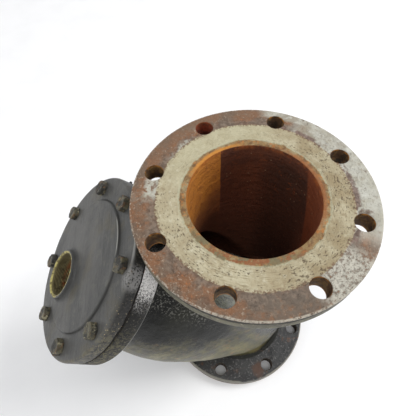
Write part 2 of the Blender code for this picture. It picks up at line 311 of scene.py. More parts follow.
def lumps(shape_of, points, size, seed):
    """Soft unevenness from -1 to 1, made of waves in turned directions."""
    generator = np.random.default_rng(seed)
    total = np.zeros(shape_of.shape, np.float32)
    for _ in range(7):
        direction = generator.normal(size=3)
        direction /= np.linalg.norm(direction)
        length = size * generator.uniform(0.7, 1.5)
        phase = generator.uniform(0, 2 * pi)
        wave = sum(axis * part for axis, part in zip(points, direction))
        total += np.sin(wave * (2 * pi / length) + phase).astype(np.float32)
    return total / 7


CORNERS = [(i, j, k) for i in (0, 1) for j in (0, 1) for k in (0, 1)]


def surface_net(field, origin, step):
    """Quads round the zero of a field sampled on a grid, one point for each cell that it crosses."""
    inside = field < 0
    cells = tuple(size - 1 for size in field.shape)
    count = np.zeros(cells, np.int8)
    for i, j, k in CORNERS:
        count += inside[i:i + cells[0], j:j + cells[1], k:k + cells[2]]
    active = np.argwhere((count > 0) & (count < 8))
    values = {c: field[active[:, 0] + c[0], active[:, 1] + c[1], active[:, 2] + c[2]] for c in CORNERS}
    total = np.zeros((len(active), 3))
    hits = np.zeros(len(active))
    for a in CORNERS:
        for axis in range(3):
            if a[axis]:
                continue
            b = tuple(a[n] + (n == axis) for n in range(3))
            crossed = (values[a] < 0) != (values[b] < 0)
            share = np.where(crossed, values[a] / np.where(crossed, values[a] - values[b], 1), 0)
            point = np.tile(np.array(a, float), (len(active), 1))
            point[:, axis] += share
            total += point * crossed[:, None]
            hits += crossed
    verts = np.array(origin) + (active + total / hits[:, None]) * step
    number = np.full(cells, -1, np.int64)
    number[tuple(active.T)] = np.arange(len(active))
    faces = []
    for axis in range(3):
        here = [slice(1, -1)] * 3
        there = [slice(1, -1)] * 3
        here[axis] = slice(0, -1)
        there[axis] = slice(1, None)
        low, high = inside[tuple(here)], inside[tuple(there)]
        spots = np.argwhere(low != high)
        rising = low[tuple(spots.T)]
        offset = np.ones(3, int)
        offset[axis] = 0
        base = spots + offset
        u, v = [n for n in range(3) if n != axis]
        ring = []
        for du, dv in ((-1, -1), (0, -1), (0, 0), (-1, 0)):
            cell = base.copy()
            cell[:, u] += du
            cell[:, v] += dv
            ring.append(number[tuple(cell.T)])
        quads = np.stack(ring, 1)
        flip = rising if axis == 1 else ~rising
        quads[flip] = quads[flip][:, ::-1]
        faces.append(quads)
    return verts, np.concatenate(faces)


def grid(low, high, step):
    axes = [np.arange(a, b + step, step, dtype=np.float32) for a, b in zip(low, high)]
    return np.meshgrid(*axes, indexing="ij", sparse=True)


def bulge(position, widest):
    """Radius of the barrel's two arcs, which meet at its crown."""
    away = position - CROWN_POSITION
    curve = np.where(away > 0, ARC_TO_COVER, ARC_TO_SEAT)
    return widest - curve + np.sqrt(np.maximum(curve ** 2 - away ** 2, 0))


def barrel_outside(position):
    """Outer radius of the barrel: its arcs, then the neck and the fillet at the branch flange."""
    arcs = bulge(position, CROWN_RADIUS)
    straight = np.full_like(arcs, BRANCH_NECK_RADIUS) - 0.2 * np.maximum(0.2 - position, 0)
    to_flange = np.clip(position - (BRANCH_FLANGE_BACK - NECK_FILLET), 0, NECK_FILLET)
    return smooth_max(arcs, straight, 0.012) + NECK_FILLET - np.sqrt(NECK_FILLET ** 2 - to_flange ** 2)


def barrel_inside(position):
    arcs = bulge(position, CROWN_RADIUS - BARREL_WALL)
    return np.where(position > 0.2, np.maximum(arcs, MOUTH_RADIUS), arcs)


def run_outside(height):
    """Outer radius of the run, which flares into both flanges."""
    low = np.clip(INLET_Z + FLANGE_THICKNESS + NECK_FILLET - height, 0, NECK_FILLET)
    high = np.clip(height - (OUTLET_Z - FLANGE_THICKNESS - NECK_FILLET), 0, NECK_FILLET)
    flare = NECK_FILLET - np.sqrt(NECK_FILLET ** 2 - np.maximum(low, high) ** 2)
    return NECK_RADIUS + flare


def between_flanges(field, z):
    field = np.maximum(field, INLET_Z + FLANGE_THICKNESS - JOIN - z)
    return np.maximum(field, z - (OUTLET_Z - FLANGE_THICKNESS + JOIN))


def casting_fields(x, y, z):
    """Distance fields (solid, hollow) of the casting without its flanges, at places in the row frame."""
    rx = x - RUN_X
    rz = z - BRANCH_HEIGHT
    along = rx * BRANCH_AXIS.x + rz * BRANCH_AXIS.z
    across = rx * ACROSS.x + rz * ACROSS.z
    away_run = np.sqrt(rx ** 2 + y ** 2)
    away_branch = np.sqrt(across ** 2 + y ** 2)

    run = between_flanges(away_run - run_outside(z), z)
    barrel = (away_branch - barrel_outside(along)) * 0.95
    barrel = smooth_max(barrel, -0.035 - along, 0.05)
    barrel = np.maximum(barrel, along - (BRANCH_FLANGE_BACK + JOIN))
    solid = smooth_min(run, barrel, 0.028)
    solid = solid + 0.0005 * lumps(solid, (x, y, z), 0.045, 3) + 0.0002 * lumps(solid, (x, y, z), 0.014, 5)
    solid = between_flanges(solid, z)

    pipe = away_run - (PIPE_RADIUS + 0.0003)
    outlet = np.maximum(pipe, 0.008 - along)
    inlet = np.maximum(pipe, along + 0.012)
    chamber = smooth_max(away_branch - barrel_inside(along), 0.006 - along, 0.006)
    seat = np.maximum(away_branch - SEAT_RADIUS, np.abs(along + 0.010) - 0.012)
    # freer than in the part, because the grid rounds inner corners and the basket's band stands in this one
    counterbore = np.maximum(away_branch - (COUNTERBORE_RADIUS + 0.0020), np.abs(along - 0.004) - 0.008)
    hollow = smooth_min(outlet, chamber, 0.006)
    hollow = np.minimum(np.minimum(hollow, inlet), np.minimum(seat, counterbore))
    return solid, hollow


def make_casting(outside, inside):
    """The cast skin between the flanges, and everything inside it."""
    low = (RUN_X - 0.285, -0.128, INLET_Z + FLANGE_THICKNESS - 0.005)
    high = (RUN_X + 0.106, 0.128, OUTLET_Z - FLANGE_THICKNESS + 0.005)
    x, y, z = grid(low, high, CAST_STEP)
    solid, hollow = casting_fields(x, y, z)
    verts, faces = surface_net(np.maximum(solid, -hollow), low, CAST_STEP)
    casting = add_piece("body_casting", verts, faces)
    middles = verts[faces].mean(1)
    _, near_hollow = casting_fields(middles[:, 0], middles[:, 1], middles[:, 2])
    casting.data.materials.append(outside)
    casting.data.materials.append(inside)
    casting.data.polygons.foreach_set("material_index", (near_hollow < 0.0025).astype(np.int32))
    casting.data.shade_smooth()
    return casting


def cover_field(v, y, s):
    """Distance field of the cover in its own frame: v across towards the outlet, s along the branch."""
    away = np.sqrt(v ** 2 + y ** 2)
    face = COVER_FACE
    rim = rod(away, s, COVER_RADIUS, COVER_BACK, face, 0.0035)
    rim = np.minimum(rim, rod(away, s, COVER_RADIUS, COVER_BACK, face - 0.006, 0.0006))
    disc = rod(away, s, DISC_RADIUS, COVER_BACK + 0.004, face + DISC_HEIGHT, 0.0012)
    solid = smooth_min(rim, disc, 0.0015)
    from_boss = np.sqrt((v + BOSS_OFFSET) ** 2 + y ** 2)
    taper = (BOSS_BASE_RADIUS - BOSS_TOP_RADIUS) * (s - face) / BOSS_HEIGHT
    boss = rod(from_boss + taper, s, BOSS_BASE_RADIUS, COVER_BACK + 0.004, face + BOSS_HEIGHT, 0.0012)
    solid = smooth_min(solid, boss, 0.005)
    wave = 0.00035 * lumps(solid, (v, y, s), 0.04, 11) + 0.00012 * lumps(solid, (v, y, s), 0.012, 12)
    solid = np.maximum(solid + np.abs(wave), COVER_BACK - s)
    # narrower than in the part, to keep the corners beside it clear of the gasket and of the basket's band
    pilot = np.maximum(np.abs(away - 0.0847) - 0.0009, np.abs(s - (COVER_BACK - 0.002)) - 0.004)
    solid = np.minimum(solid, pilot)
    hole = from_boss - (BLOW_OFF_RADIUS + 0.002)
    mouth = from_boss - (BLOW_OFF_MOUTH_RADIUS - (face + BOSS_HEIGHT - s))
    solid = np.maximum(solid, -np.minimum(hole, mouth))
    for a, b in bolt_circle(COVER_BOLT_CIRCLE):
        solid = np.maximum(solid, COVER_HOLE_RADIUS - np.sqrt((v - a) ** 2 + (y - b) ** 2))
    return solid


def make_cover():
    reach = COVER_RADIUS + 0.003
    low = (-reach, -reach, COVER_BACK - 0.009)
    high = (reach, reach, COVER_FACE + BOSS_HEIGHT + 0.003)
    v, y, s = grid(low, high, COVER_STEP)
    verts, faces = surface_net(cover_field(v, y, s), low, COVER_STEP)
    cover = add_piece("cover_casting", verts, faces, BRANCH)
    cover.data.shade_smooth()
    return cover


# ---- threads and screws

def thread_wave(turns):
    """Triangle wave of a thread with flat crests and roots, from 0 at the root to 1 at the crest."""
    part = turns - np.floor(turns)
    return np.clip(2.6 * (1 - np.abs(2 * part - 1)) - 0.8, 0, 1)


def make_blow_off_thread():
    """Ring with a tapered pipe thread inside, which lines the blow-off hole."""
    pitch, depth, columns = 0.00221, 0.0016, 96
    top = COVER_FACE + BOSS_HEIGHT - 0.0035
    bottom = COVER_BACK + 0.0004
    rows = int((top - bottom) / pitch * 7)
    heights = np.linspace(top, bottom, rows)
    verts, faces = [], []
    for height in heights:
        root = BLOW_OFF_RADIUS + depth + (height - bottom) / 32
        for i, (x, y) in enumerate(circle(1, columns)):
            ridge = thread_wave(height / pitch - i / columns)
            radius = min(root - depth * float(ridge), BLOW_OFF_RADIUS + 0.0022)
            verts.append((radius * x, radius * y, height))
    for height in (bottom, top):
        verts += [(x, y, height) for x, y in circle(BLOW_OFF_RADIUS + 0.0026, columns)]
    for row, after in loop_borders(0, rows + 2):
        faces += between(row * columns, after * columns, columns)
    return outward(add_piece("blow_off_thread", verts, faces, BOSS), 60)


def hexagon_reach(angle, flat_radius):
    part = (angle + pi / 6) % (pi / 3) - pi / 6
    return min(flat_radius / cos(part), flat_radius * 1.125)


def make_screw(number, centre, turn):
    """Cap screw: chamfered hexagon head, plain neck and a thread down to the point."""
    half_flats = 0.0103
    head = 0.0085
    radius = 0.0071
    length = 0.0445
    pitch, depth, columns = 0.00212, 0.0010, 36
    crown = half_flats * 0.93
    seat = COVER_FACE + 0.0003
    verts, faces = [], []

    def ring(reach_at, height_at):
        for i in range(columns):
            angle = 2 * pi * i / columns
            reach = reach_at(angle)
            verts.append((reach * cos(angle), reach * sin(angle), seat + height_at(angle, reach)))

    def side(angle):
        return hexagon_reach(angle, half_flats)

    def chamfered(angle, reach):
        return head - max(0.0, reach - crown) * 0.55

    verts.append((0, 0, seat + head - 0.0004))
    ring(lambda a: crown * 0.6, lambda a, r: head - 0.0003)
    ring(lambda a: crown * 0.97, lambda a, r: head - 0.0001)
    ring(lambda a: (crown + side(a)) / 2, chamfered)
    ring(lambda a: side(a) - 0.0003, chamfered)
    ring(side, lambda a, r: head - 0.0008 - max(0.0, r - crown) * 0.55)
    ring(side, lambda a, r: 0.0007)
    ring(lambda a: side(a) - 0.0004, lambda a, r: 0.0)
    ring(lambda a: radius + 0.0003, lambda a, r: 0.0)
    ring(lambda a: radius, lambda a, r: -0.0004)
    plain = 0.009
    ring(lambda a: radius, lambda a, r: -plain)
    rows = int((length - plain) / pitch * 6)
    for row in range(1, rows + 1):
        depth_down = plain + (length - plain) * row / rows
        fade = min(1.0, row / 6) * min(1.0, (rows - row) / 4 + 0.4)
        tip = max(0.0, depth_down - (length - 0.0012))

        def reach(angle, down=depth_down, keep=fade, tip=tip):
            groove = 1 - float(thread_wave(down / pitch - angle / (2 * pi)))
            return radius - depth * groove * keep - tip

        ring(reach, lambda a, r, down=depth_down: -down)
    last = len(verts)
    verts.append((0, 0, seat - length))
    for index, (x, y, z) in enumerate(verts):
        if z > seat + 0.0002:
            wear = noise.noise((x * 230 + number * 7, y * 230, z * 230)) * 0.0006
            keep = 1 + (min(0.0002, wear) - 0.0004) / max(0.004, sqrt(x * x + y * y))
            verts[index] = (x * keep, y * keep, z + min(0.0, wear * 1.5 - 0.0003))
    for i, j in loop_borders(0, columns):
        faces += [(0, 1 + i, 1 + j), (last, last - columns + j, last - columns + i)]
    for first in range(1, last - columns, columns):
        faces += [(a, d, c, b) for a, b, c, d in between(first, first + columns, columns)]
    place = BRANCH @ Matrix.Translation((*centre, 0)) @ Matrix.Rotation(turn, 4, "Z")
    return outward(add_piece(f"screw_{number}", verts, faces, place), 32)


# ---- screen

def make_screen_sheet():
    """Sheet rolled into a cylinder, with staggered round holes and plain margins at both ends."""
    columns = 76
    pitch = 2 * pi * SCREEN_RADIUS / columns
    rise = pitch * 0.866
    margin = 0.020
    rows = int((SCREEN_HIGH - SCREEN_LOW - 2 * margin) / rise) // 2 * 2
    start = (SCREEN_LOW + SCREEN_HIGH) / 2 - (rows - 1) * rise / 2
    hole = pitch * 0.31
    points, faces, known = [], [], {}

    def point(across, height):
        key = (round(across / pitch * 6) % (columns * 6), round((height - start) / rise * 6))
        if key not in known:
            known[key] = len(points)
            points.append((across, height))
        return known[key]

    for row in range(rows):
        for column in range(columns):
            middle = ((column + (row % 2) / 2) * pitch, start + row * rise)
            corner_reach = pitch / sqrt(3)
            outer, inner = [], []
            for i in range(12):
                angle = pi / 6 * i + pi / 2
                reach = corner_reach if i % 2 == 0 else pitch / 2
                outer.append(point(middle[0] + reach * cos(angle), middle[1] + reach * sin(angle)))
                inner.append(len(points))
                points.append((middle[0] + hole * cos(angle), middle[1] + hole * sin(angle)))
            for i in range(12):
                j = (i + 1) % 12
                faces.append((outer[i], outer[j], inner[j], inner[i]))
    verts = []
    for across, height in points:
        angle = across / SCREEN_RADIUS
        verts.append((SCREEN_RADIUS * cos(angle), SCREEN_RADIUS * sin(angle), height))
    made = add_piece("screen_cylinder", verts, faces)
    shape = bmesh.new()
    shape.from_mesh(made.data)
    bmesh.ops.remove_doubles(shape, verts=shape.verts, dist=pitch * 0.02)
    for end, height in ((-1, SCREEN_LOW), (1, SCREEN_HIGH)):
        limit = start - rise * 0.2 if end < 0 else start + (rows - 1) * rise + rise * 0.2
        rim = [e for e in shape.edges if e.is_boundary and all((v.co.z - limit) * end > 0 for v in e.verts)]
        grown = bmesh.ops.extrude_edge_only(shape, edges=rim)
        for item in grown["geom"]:
            if isinstance(item, bmesh.types.BMVert):
                item.co.z = height
    bmesh.ops.recalc_face_normals(shape, faces=shape.faces)
    shape.to_mesh(made.data)
    shape.free()
    sheet = made.modifiers.new("sheet", "SOLIDIFY")
    sheet.thickness = SCREEN_THICKNESS
    sheet.offset = -1
    made.data.transform(BRANCH)
    apply_modifiers(made)
    smooth(made, 35)
    return made


def apply_modifiers(piece):
    depsgraph = bpy.context.evaluated_depsgraph_get()
    mesh = bpy.data.meshes.new_from_object(piece.evaluated_get(depsgraph))
    piece.modifiers.clear()
    piece.data = mesh


def make_band(name, low):
    inner = SCREEN_RADIUS + 0.0003
    outer = inner + BAND_THICKNESS
    edge = 0.0005
    high = low + BAND_WIDTH
    corners = [(inner, low, edge), (outer, low, edge), (outer, high, edge), (inner, high, edge)]
    return turned(name, rounded(corners, 3), BRANCH, 144)


def make_gasket():
    """Fibre ring whose outer edge is a little uneven, with a tongue that stands out of the joint."""
    tongue = radians(49)
    steps = 360
    outer = []
    for i in range(steps):
        angle = 2 * pi * i / steps
        reach = 0.1289 + 0.0003 * noise.noise((cos(angle) * 9, sin(angle) * 9, 2))
        off = abs((angle - tongue + pi) % (2 * pi) - pi) * reach
        reach += 0.0034 * min(1.0, max(0.0, (0.0030 - off) / 0.0008))
        outer.append((reach * cos(angle), reach * sin(angle)))
    borders = loop_borders(0, steps)
    points = list(outer)
    holes = [((0, 0), MOUTH_RADIUS, 180)]
    holes += [(centre, COVER_HOLE_RADIUS, 28) for centre in bolt_circle(COVER_BOLT_CIRCLE)]
    for centre, radius, count in holes:
        borders += loop_borders(len(points), count)
        points += circle(radius, count, centre)
    flat, kept = filled(points, borders, [(centre, radius * 0.99) for centre, radius, _ in holes], 1)
    count = len(flat)
    verts = [(x, y, height) for height in (GASKET_FACE, GASKET_FACE - GASKET_THICKNESS) for x, y in flat]
    faces = kept + [(c + count, b + count, a + count) for a, b, c in kept]
    faces += [(b, a, a + count, b + count) for a, b in borders]
    return outward(add_piece("joint_gasket", verts, faces, BRANCH))


# ---- materials

class Value:
    """A number or colour that nodes work out at each place. Sums, products and steps of it add nodes."""

    def __init__(self, surface, socket):
        self.surface = surface
        self.socket = socket

    def __add__(self, other):
        return self.surface.math("ADD", self, other)

    def __radd__(self, other):
        return self.surface.math("ADD", other, self)

    def __sub__(self, other):
        return self.surface.math("SUBTRACT", self, other)

    def __rsub__(self, other):
        return self.surface.math("SUBTRACT", other, self)

    def __mul__(self, other):
        return self.surface.math("MULTIPLY", self, other)

    def __truediv__(self, other):
        return self.surface.math("DIVIDE", self, other)

    def __abs__(self):
        return self.surface.math("ABSOLUTE", self)


def highest(a, b):
    return a.surface.math("MAXIMUM", a, b)


def step(value, low, high, top=1.0):
    """0 below low, top above high, smooth between; low may be the larger of the two."""
    ends = (low, high, 0.0, top) if low <= high else (high, low, top, 0.0)
    sockets = {"Value": value, **dict(zip(("From Min", "From Max", "To Min", "To Max"), ends))}
    return value.surface.add("MapRange", "Result", sockets, interpolation_type="SMOOTHSTEP")


def near(value, middle, far, close):
    """1 within close of the middle, 0 beyond far."""
    return step(abs(value - middle), far, close)


def linear(part):
    return part / 12.92 if part <= 0.04045 else ((part + 0.055) / 1.055) ** 2.4


def mix(share, a, b):
    """Colour between a and b. Each is a value or a display colour with parts from 0 to 255."""
    a, b = ((*(linear(part / 255) for part in c), 1) if isinstance(c, tuple) else c for c in (a, b))
    return share.surface.add("Mix", 2, {"Factor": share, 6: a, 7: b}, data_type="RGBA")


def layers(colour, *over):
    """Colour with layers (share, colour) laid over it one after the other."""
    for share, layer in over:
        colour = mix(share, colour, layer)
    return colour


class Surface:
    """A Principled material and short calls for nodes. Places are Object coordinates, in the row frame."""

    def __init__(self, name, roughness=0.6, metallic=0.0):
        self.material = bpy.data.materials.new(name)
        self.material.use_nodes = True
        self.tree = self.material.node_tree
        self.tree.nodes.clear()
        self.shader = self.tree.nodes.new("ShaderNodeBsdfPrincipled")
        output = self.tree.nodes.new("ShaderNodeOutputMaterial")
        self.tree.links.new(self.shader.outputs[0], output.inputs[0])
        self.shader.inputs["Roughness"].default_value = roughness
        self.shader.inputs["Metallic"].default_value = metallic
        self.place = self.add("TexCoord", "Object", {})
        self.normal = self.add("NewGeometry", "Normal", {})

    def put(self, socket, value):
        if isinstance(value, Value):
            self.tree.links.new(value.socket, socket)
        elif value is not None:
            socket.default_value = value

    def add(self, kind, output, sockets, **settings):
        """Value of an output of a new node; sockets holds what goes into its inputs."""
        node = self.tree.nodes.new("ShaderNode" + kind)
        for name, setting in settings.items():
            setattr(node, name, setting)
        for name, value in sockets.items():
            self.put(node.inputs[name], value)
        return Value(self, node.outputs[output])

    def math(self, operation, a, b=None, clamp=False):
        return self.add("Math", 0, {0: a, 1: b}, operation=operation, use_clamp=clamp)

    def vector(self, operation, a, b):
        output = "Value" if operation in ("DOT_PRODUCT", "DISTANCE") else "Vector"
        return self.add("VectorMath", output, {0: a, 1: tuple(b)}, operation=operation)

    def height(self):
        return self.vector("DOT_PRODUCT", self.place, (0, 0, 1))

    def spread(self, stretch, seed):
        """The place, stretched along the axes and moved by the seed."""
        place = self.vector("MULTIPLY", self.place, stretch) if stretch else self.place
        return self.vector("ADD", place, (seed, seed * 0.7, -seed)) if seed else place

    def noise(self, scale, detail=3, roughness=0.55, seed=0, stretch=None, distortion=0.0):
        sockets = {"Vector": self.spread(stretch, seed), "Scale": scale, "Detail": detail,
                   "Roughness": roughness, "Distortion": distortion}
        return self.add("TexNoise", "Fac", sockets)

    def cells(self, scale, seed):
        return self.add("TexVoronoi", "Distance", {"Vector": self.spread(None, seed), "Scale": scale})

    def drawn_noise(self, coordinates, detail, roughness):
        """Noise over three values, drawn out where they change slowly."""
        vector = self.add("CombineXYZ", 0, dict(enumerate(coordinates)))
        sockets = {"Vector": vector, "Scale": 1.0, "Detail": detail, "Roughness": roughness}
        return self.add("TexNoise", "Fac", sockets)

    def swirl(self, distance, turn, along, out, detail, seed):
        """Noise drawn out round an axis: along is its fineness round it, out its fineness away from it."""
        return self.drawn_noise((turn[0] * along, turn[1] * along, distance * out + seed), detail, 0.6)

    def local(self, frame):
        """Coordinates of the place in another frame of the model, such as the branch's."""
        offset = self.vector("SUBTRACT", self.place, frame.translation)
        return [self.vector("DOT_PRODUCT", offset, frame.to_3x3().col[n]) for n in range(3)]

    def polar(self, centre, across):
        """(distance from an axis, (cosine, sine) of the angle about it from across towards Y)."""
        offset = self.vector("SUBTRACT", self.place, centre)
        u = self.vector("DOT_PRODUCT", offset, across)
        v = self.vector("DOT_PRODUCT", offset, (0, 1, 0))
        distance = self.math("SQRT", u * u + v * v)
        divisor = highest(distance, 0.001)
        return distance, (u / divisor, v / divisor)

    def round_run(self):
        return self.polar(RUN.translation, (1, 0, 0))

    def sector(self, turn, middle, half_width, soft):
        """Share from 0 to 1 of a sector, in degrees, of the angle whose cosine and sine are in turn."""
        away = turn[0] * cos(radians(middle)) + turn[1] * sin(radians(middle))
        outside = cos(radians(min(half_width + soft, 179)))
        inside = cos(radians(max(half_width - soft, 0)))
        return step(away, outside, inside)

    def finish(self, colour, roughness=None, bumps=()):
        """The material with its colour, its roughness and its bumps, each (height value, depth)."""
        self.put(self.shader.inputs["Base Color"], colour)
        self.put(self.shader.inputs["Roughness"], roughness)
        normal = None
        for height, depth in bumps:
            normal = self.add("Bump", "Normal", {"Distance": depth, "Height": height, "Normal": normal})
        self.put(self.shader.inputs["Normal"], normal)
        return self.material


def black_paint():
    """Semi-gloss black over a cast skin: olive dust below with a painted reflection of the floor, and
    painted highlights on the branch flange's side and back edge.
    """
    s = Surface("black_paint", 0.3)
    drift = s.noise(14, 4)
    fine = s.noise(230, 5, 0.7, 5)
    base = mix(step(drift, 0.35, 0.65), (18, 18, 15), (32, 32, 27))
    across, y, along = s.local(BRANCH)
    from_axis = s.math("SQRT", across * across + y * y)
    sideways = s.vector("DOT_PRODUCT", s.normal, Vector((-0.12, -0.97, -0.2)).normalized())
    brushed = s.drawn_noise((across * 24, y * 90, along * 30), 6, 0.72)
    cloudy = brushed * 0.7 + fine * 0.3
    under = sideways + (cloudy - 0.5) * 0.9
    height = s.height()
    under = under + step(along, 0.17, 0.08, 0.16)
    under = under - step(height, 0.27, 0.4, 0.4)
    under = under - step(across, 0.05, 0.13, 0.4)
    # Lighter olive on faces turned down and to the front: olive dust, plus a painted reflection of the pale
    # floor in the gloss.
    dust = mix(step(brushed, 0.34, 0.64), (80, 76, 46), (126, 119, 80))
    dust_and_floor_reflection = step(under, 0.7, 1.12, 0.92) * step(y, -0.01, -0.04)
    # Near-white on the lowest front-facing faces: chalk, plus a painted reflection of the floor.
    chalk_and_floor_reflection = (step(sideways, 0.91, 0.99) * step(cloudy, 0.5, 0.6) * step(y, -0.01, -0.04)
        * step(height, 0.34, 0.24) * step(across, 0.09, 0.03) * 0.35)
    _, turn = s.round_run()
    # Paler grey-olive on the front of the neck under the outlet flange: dust, plus a painted reflection.
    dust_and_reflection_under_outlet = (s.sector(turn, 250, 24, 14) * step(height, 0.29, 0.38)
        * step(cloudy, 0.34, 0.54) * 0.85)
    ochre = dust_and_floor_reflection * step(s.noise(60, 5, 0.7, 8), 0.58, 0.66) * 0.6
    leaning = y / highest(from_axis, 0.001)
    crook = (step(abs(leaning + 0.62), 0.2, 0.04) * step(across, 0.0, 0.03) * step(along, 0.08, 0.13)
        * step(from_axis, 0.125, 0.118))
    chips = crook * step(s.noise(330, 5, 0.75, 13), 0.53, 0.6) * 0.75
    side = (step(from_axis, COVER_RADIUS - 0.0015, COVER_RADIUS - 0.0005)
        * step(along, BRANCH_FLANGE_BACK - 0.002, BRANCH_FLANGE_BACK + 0.001))
    side_specks = side * step(s.noise(380, 4, 0.75, 17), 0.56, 0.62) * 0.5
    # Painted highlight: a pale grainy patch on the branch flange's side, where the semi-gloss would catch
    # the light.
    highlight_spot = s.vector("DISTANCE", s.place, BRANCH @ Vector((0.116, -0.058, 0.294)))
    highlight_spot = highlight_spot + (s.noise(60, 5, 0.7) - 0.5) * 0.03
    highlight_grain = step(s.noise(560, 4, 0.85, 5) + step(highlight_spot, 0.036, 0.004, 0.13), 0.47, 0.63)
    painted_highlight = step(highlight_spot, 0.046, 0.018) * highlight_grain
    # Painted highlight: a thin light line along the branch flange's back edge.
    back_edge_highlight = (near(along, BRANCH_FLANGE_BACK + 0.0012, 0.0016, 0.0004)
        * step(from_axis, COVER_RADIUS - 0.0045, COVER_RADIUS - 0.0015))
    shaded = step(fine, 0.6, 0.68) * step(drift, 0.4, 0.55) * 0.7
    rust = step(s.noise(30, 8, 0.75, 7), 0.62, 0.7) * 0.6
    olive_rim = (step(from_axis, COVER_RADIUS - 0.004, COVER_RADIUS - 0.001) * step(y, -0.1, -0.126)
        * step(s.noise(210, 5, 0.75, 14), 0.47, 0.56))
    tint = layers(base, (shaded, (74, 74, 68)), (dust_and_floor_reflection, dust), (dust_and_reflection_under_outlet, (134, 134, 112)),
        (ochre, (150, 104, 58)), (chalk_and_floor_reflection, (206, 202, 182)), (rust, (84, 52, 30)), (side, (27, 26, 24)),
        (side_specks, (120, 114, 100)), (chips, (150, 148, 140)), (olive_rim * 0.65, (112, 106, 78)),
        (back_edge_highlight * 0.55, (150, 150, 144)), (painted_highlight, (238, 235, 232)))
    rough = drift * 0.24 + (painted_highlight + side) * 0.32
    rough = rough + 0.14 + dust_and_floor_reflection * 0.25
    s.shader.inputs["Specular IOR Level"].default_value = 0.32
    return s.finish(tint, rough, [(s.noise(60, 5, 0.6), 0.0012), (fine, 0.0003)])


def inlet_paint():
    """The same black on the inlet flange, scuffed grey, with rust let through round the bolt holes."""
    s = Surface("inlet_paint", 0.4)
    drift = s.noise(28, 5, 0.6)
    fine = s.noise(260, 5, 0.7, 2)
    distance, _ = s.round_run()
    height = s.height()
    scuffs = step(fine, 0.54, 0.64) * 0.75
    weeping = s.noise(40, 6, 0.75, 9)
    stain = s.vector("DISTANCE", s.place, (RUN_X + 0.03, -0.118, INLET_Z + FLANGE_THICKNESS))
    stain = stain + (weeping - 0.5) * 0.05
    stain = step(stain, 0.018, 0.008)
    rust = step(weeping, 0.57, 0.66, 0.8) * step(distance, 0.09, 0.1)
    edge = step(distance, FLANGE_RADIUS - 0.0035, FLANGE_RADIUS - 0.0015) * step(drift, 0.36, 0.48)
    side = (step(distance, FLANGE_RADIUS - 0.0012, FLANGE_RADIUS - 0.0004) * step(height, 0.024, 0.02)
        * step(s.noise(120, 7, 0.8, 12), 0.36, 0.56))
    tint = layers(mix(step(drift, 0.4, 0.6), (28, 28, 29), (48, 48, 48)), (scuffs, (108, 106, 104)),
        (rust, (92, 62, 42)), (stain, (74, 50, 36)), (edge * 0.7, (140, 136, 122)),
        (side * 0.75, (100, 94, 76)))
    rough = 0.22 + drift * 0.3
    s.shader.inputs["Specular IOR Level"].default_value = 0.42
    return s.finish(tint, rough, [(drift, 0.002), (fine, 0.0008)])


def bore_rust():
    """Inside of the casting: rust in painted light, lit ochre down one side of the bore and shaded brown in
    the rest, with a lit strip, deep shade and glints.
    """
    s = Surface("bore_rust", 0.75)
    _, turn = s.round_run()
    height = s.height()
    mottle = s.noise(95, 6, 0.65)
    broad = s.noise(24, 4, seed=2)
    ripples = s.noise(30, 3, 0.5, stretch=(1, 1, 6), distortion=0.5, seed=6)
    wander = (broad - 0.5) * 0.03
    # Painted light: the wall on the -X side is drawn as lit ochre rust, the rest as shaded brown.
    lit_side = step(turn[0] + wander, -0.385, -0.398)
    # Painted shade: the lit ochre darkens with depth down the bore.
    shade_with_depth = height + (broad - 0.5) * 0.09
    ochre = layers((196, 126, 50), (step(mottle, 0.42, 0.66, 0.8), (168, 104, 42)),
        (step(ripples, 0.54, 0.66, 0.2), (140, 84, 38)), (step(shade_with_depth, 0.405, 0.35, 0.85), (142, 88, 58)),
        (step(shade_with_depth, 0.35, 0.318, 0.7), (100, 60, 46)))
    brown = layers((92, 50, 32), (step(mottle, 0.42, 0.66, 0.7), (76, 41, 27)),
        (step(broad, 0.46, 0.64, 0.6), (108, 60, 36)), (step(height, 0.44, 0.31, 0.9), (122, 74, 54)))
    # Painted light: a lit red-brown strip running down the +X wall of the bore.
    lit_strip_place = turn[1] - (height - 0.363) * 3.9
    strip = step(lit_strip_place, 0.03, -0.03) * step(turn[0], 0.2, 0.5)
    # Painted shade: darker brown at the back right of the bore, below the rim.
    brown = mix(s.sector(turn, 35, 26, 16) * step(height, OUTLET_Z - 0.004, OUTLET_Z - 0.03) * 0.6, brown,
        (44, 28, 20))
    brown = mix(strip * 0.85, brown, (132, 70, 40))
    # Painted glints: tiny light dots on the brown rust.
    specks = step(s.cells(120, 3), 0.13, 0.06) * step(broad, 0.44, 0.54)
    scabs = step(s.noise(80, 5, 0.7, distortion=1.2, seed=31), 0.58, 0.66) * step(height, 0.34, 0.42) * 0.7
    rim = step(height, OUTLET_Z - 0.01, OUTLET_Z - 0.002) * step(s.noise(70, 5, 0.7, 11), 0.42, 0.58)
    tint = layers(mix(lit_side, brown, ochre), (scabs, (138, 72, 34)), (specks * 0.7, (186, 158, 128)),
        (rim * 0.6, (172, 96, 40)))
    return s.finish(tint, 0.5 + mottle * 0.35,
        [(ripples, 0.0012), (mottle, 0.0026), (s.noise(420, 4, 0.7), 0.0006)])


def bare_rust(s, fine, coarse, patchy):
    """Colours of the bare rusty iron of a flange face outside its gasket ring."""
    specks = s.noise(260, 5, 0.75, 21)
    grain = s.noise(520, 3, 0.8, 27)
    return layers((114, 94, 77), (step(coarse, 0.4, 0.56), (132, 92, 62)),
        (step(patchy, 0.54, 0.66, 0.8), (130, 114, 98)), (step(patchy, 0.44, 0.34, 0.8), (104, 74, 54)),
        (step(fine, 0.55, 0.66, 0.6), (86, 66, 50)), (step(grain, 0.56, 0.66) * 0.45, (84, 62, 48)),
        (step(grain, 0.42, 0.34) * 0.45, (158, 138, 118)),
        (step(specks, 0.57, 0.64) * 0.6, (180, 164, 144)),
        (step(specks, 0.41, 0.36) * step(coarse, 0.46, 0.56) * 0.6, (176, 106, 54)))


